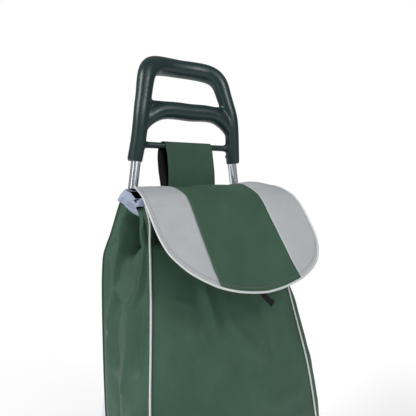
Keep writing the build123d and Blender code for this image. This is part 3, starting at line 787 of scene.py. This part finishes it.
# ---------------------------------------------------------------- loops, straps and tab
def strip(name, path, left, right, materials, body, replaced, flat, thickness, inside, wave=0.8):
    """Band of cloth along a path of (reach, z), between its left and right x at even steps."""
    points = [at(0, reach, z) for reach, z in path]

    def place(u, v):
        point = through(points, v)
        x = through(left, v) * (1 - u) + through(right, v) * u
        sway = wave * hill(v, 0.25, 0.25) * sin(u * 5.0 + v * 9) + wave * hill(v, 0.8, 0.2) * sin(u * 4.0 + 1)
        return point + Vector((x, -sway, 0)) * MM

    piece = cloth(name, place, (24, 90), flat, thickness, inside, materials, body, replaced,
                  held_edges=NO_EDGES)


LOOP_T, WEBBING_T = 1.3, 1.4
LOOP_PATH = [(13.2, 652), (12.8, 680), (11.5, 708), (9.6, 735), (8.1, 752), (5.6, THIN_BAR_Z + 6.2),
             (0, THIN_BAR_Z + 8.2), (-5.6, THIN_BAR_Z + 6.2), (-8.1, 752), (-6.0, 735), (-0.5, 708), (6.5, 680),
             (10.8, 652)]
strip("hanging_loop_cloth", LOOP_PATH, [-48, -48, -47.5, -48.5, -50.5, -52, -53, -55.5, -59, -62, -63, -62, -60],
      [57, 57, 56.5, 54, 52.5, 51, 50.5, 50, 48, 47, 47, 49, 51], CLOTH_PAIR, "frame",
      ["hanging_loop"], (0.108, 0.225), LOOP_T, at(0, 2, 715))

for side, word in ((-1, "left"), (1, "right")):
    low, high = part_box("lower_strap_" + word)
    mid, half = (low.x + high.x) / 2 / MM, (high.x - low.x) / 2 / MM
    z = STRAP_BAR_Z
    path = [(12.6, z + 46), (11.4, z + 30), (9.6, z + 12), (7.9, z + 1), (5.6, z - 6.6), (0, z - 8.4),
            (-5.8, z - 6.4), (-8.2, z + 1), (-5.4, z + 14), (2.5, z + 31), (9.8, z + 46)]
    strip("strap_webbing_" + word, path, [mid - half] * len(path), [mid + half] * len(path), [WEBBING], "frame",
          ["lower_strap_" + word], (0.03, 0.105), WEBBING_T,
          at(mid, 1, z + 15), 0.0)


def pull_tab():
    line = [at(-14, 237, 531), at(-10.5, 242, 523), at(-7, 246, 517), at(-3, 249, 511.5), at(1.5, 252, 507),
            at(4, 253.5, 504.5)]

    def place(u, v):
        half = 3.3 + 1.7 * v ** 2
        return through(line, v) + Vector(((u - 0.5) * 1.5 * half, 0, (u - 0.5) * 1.5 * half)) * MM

    piece = cloth("pull_tab_webbing", place, (8, 24), (0.01, 0.037), WEBBING_T, at(0, 200, 500), [WEBBING], "flap",
                  ["flap_tab"], held_edges=NO_EDGES)


pull_tab()

# ---------------------------------------------------------------- finishes for the rigid pieces
FINISHES = {
    CHROME: ["upright_left", "upright_right", "crossbar_upper", "crossbar_middle", "crossbar_lower", "shelf_frame",
             "shelf_wires", "front_stand"],
    ZINC: ["axle", "inner_washers", "outer_washers", "handle_screws"],
    NICKEL: ["axle_cap_left", "axle_cap_right", "press_studs"],
    BLACK_PLASTIC: ["wheel_left", "wheel_right", "upright_plugs"],
    TYRE_RUBBER: ["tyre_left", "tyre_right"],
    FOOT_RUBBER: ["foot_left", "foot_right"],
    BOARD: ["base_board"],
}
for material, names in FINISHES.items():
    for name in names:
        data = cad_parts[name].data
        data.materials.clear()
        data.materials.append(material)

# ---------------------------------------------------------------- studio
bpy.context.scene.view_settings.view_transform = "Standard"
world = bpy.data.worlds.new("studio")
bpy.context.scene.world = world
world.use_nodes = True
background = world.node_tree.nodes["Background"]
background.inputs["Color"].default_value = (1.0, 1.0, 1.0, 1.0)
# Full white where it is seen, a share in mirrors, and a little as light.
SEEN_IN_MIRRORS, GIVEN_AS_LIGHT = 0.32, 0.09
seen = add(world.node_tree, "ShaderNodeLightPath")
mirrored = add(world.node_tree, "ShaderNodeMath", {0: seen.outputs["Is Glossy Ray"], 1: SEEN_IN_MIRRORS},
               operation="MULTIPLY")
strength = add(world.node_tree, "ShaderNodeMath", {0: seen.outputs["Is Camera Ray"],
                                                   1: mirrored.outputs["Value"]}, operation="MAXIMUM")
strength = add(world.node_tree, "ShaderNodeMath", {0: strength.outputs["Value"], 1: GIVEN_AS_LIGHT},
               operation="MAXIMUM")
world.node_tree.links.new(strength.outputs["Value"], background.inputs["Strength"])

FLOOR_RADIUS = 5.0
floor_material, _, floor_shader = surface("pale_paper_floor", Roughness=0.9, Emission_Strength=0.4)
floor_shader.inputs["Emission Color"].default_value = (1.0, 1.0, 1.0, 1.0)
floor_shader.inputs["Base Color"].default_value = (0.86, 0.86, 0.86, 1.0)
floor_bm = bmesh.new()
bmesh.ops.create_circle(floor_bm, cap_ends=True, radius=FLOOR_RADIUS, segments=64)
floor_mesh = bpy.data.meshes.new("studio_floor")
floor_bm.to_mesh(floor_mesh)
floor_bm.free()
floor = bpy.data.objects.new("studio_floor", floor_mesh)
bpy.context.collection.objects.link(floor)
floor_mesh.materials.append(floor_material)
floor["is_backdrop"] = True


def softbox(name, place, aim, size, power):
    """Rectangular lamp of a power in watts."""
    data = bpy.data.lights.new(name, "AREA")
    data.shape = "RECTANGLE"
    data.size, data.size_y = size
    data.energy = power
    lamp = bpy.data.objects.new(name, data)
    bpy.context.collection.objects.link(lamp)
    lamp.location = place
    lamp.rotation_euler = (Vector(aim) - Vector(place)).to_track_quat("-Z", "Y").to_euler()


def soft_sun(name, towards, strength, spread):
    """Far light with soft shadows; its spread is in degrees."""
    data = bpy.data.lights.new(name, "SUN")
    data.energy = strength
    data.angle = radians(spread)
    lamp = bpy.data.objects.new(name, data)
    bpy.context.collection.objects.link(lamp)
    lamp.rotation_euler = Vector(towards).to_track_quat("-Z", "Y").to_euler()


soft_sun("key", (0.84, 0.04, -0.54), 2.5, 30)
soft_sun("fill", (-0.1, 0.85, -0.5), 1.15, 55)
softbox("left_strip", (-1.5, -0.35, 1.0), (0, 0, 0.8), (0.2, 1.5), 2.6)
softbox("front_box", (0.3, -1.5, 1.6), (0, 0, 0.85), (0.5, 0.3), 8)

low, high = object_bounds()
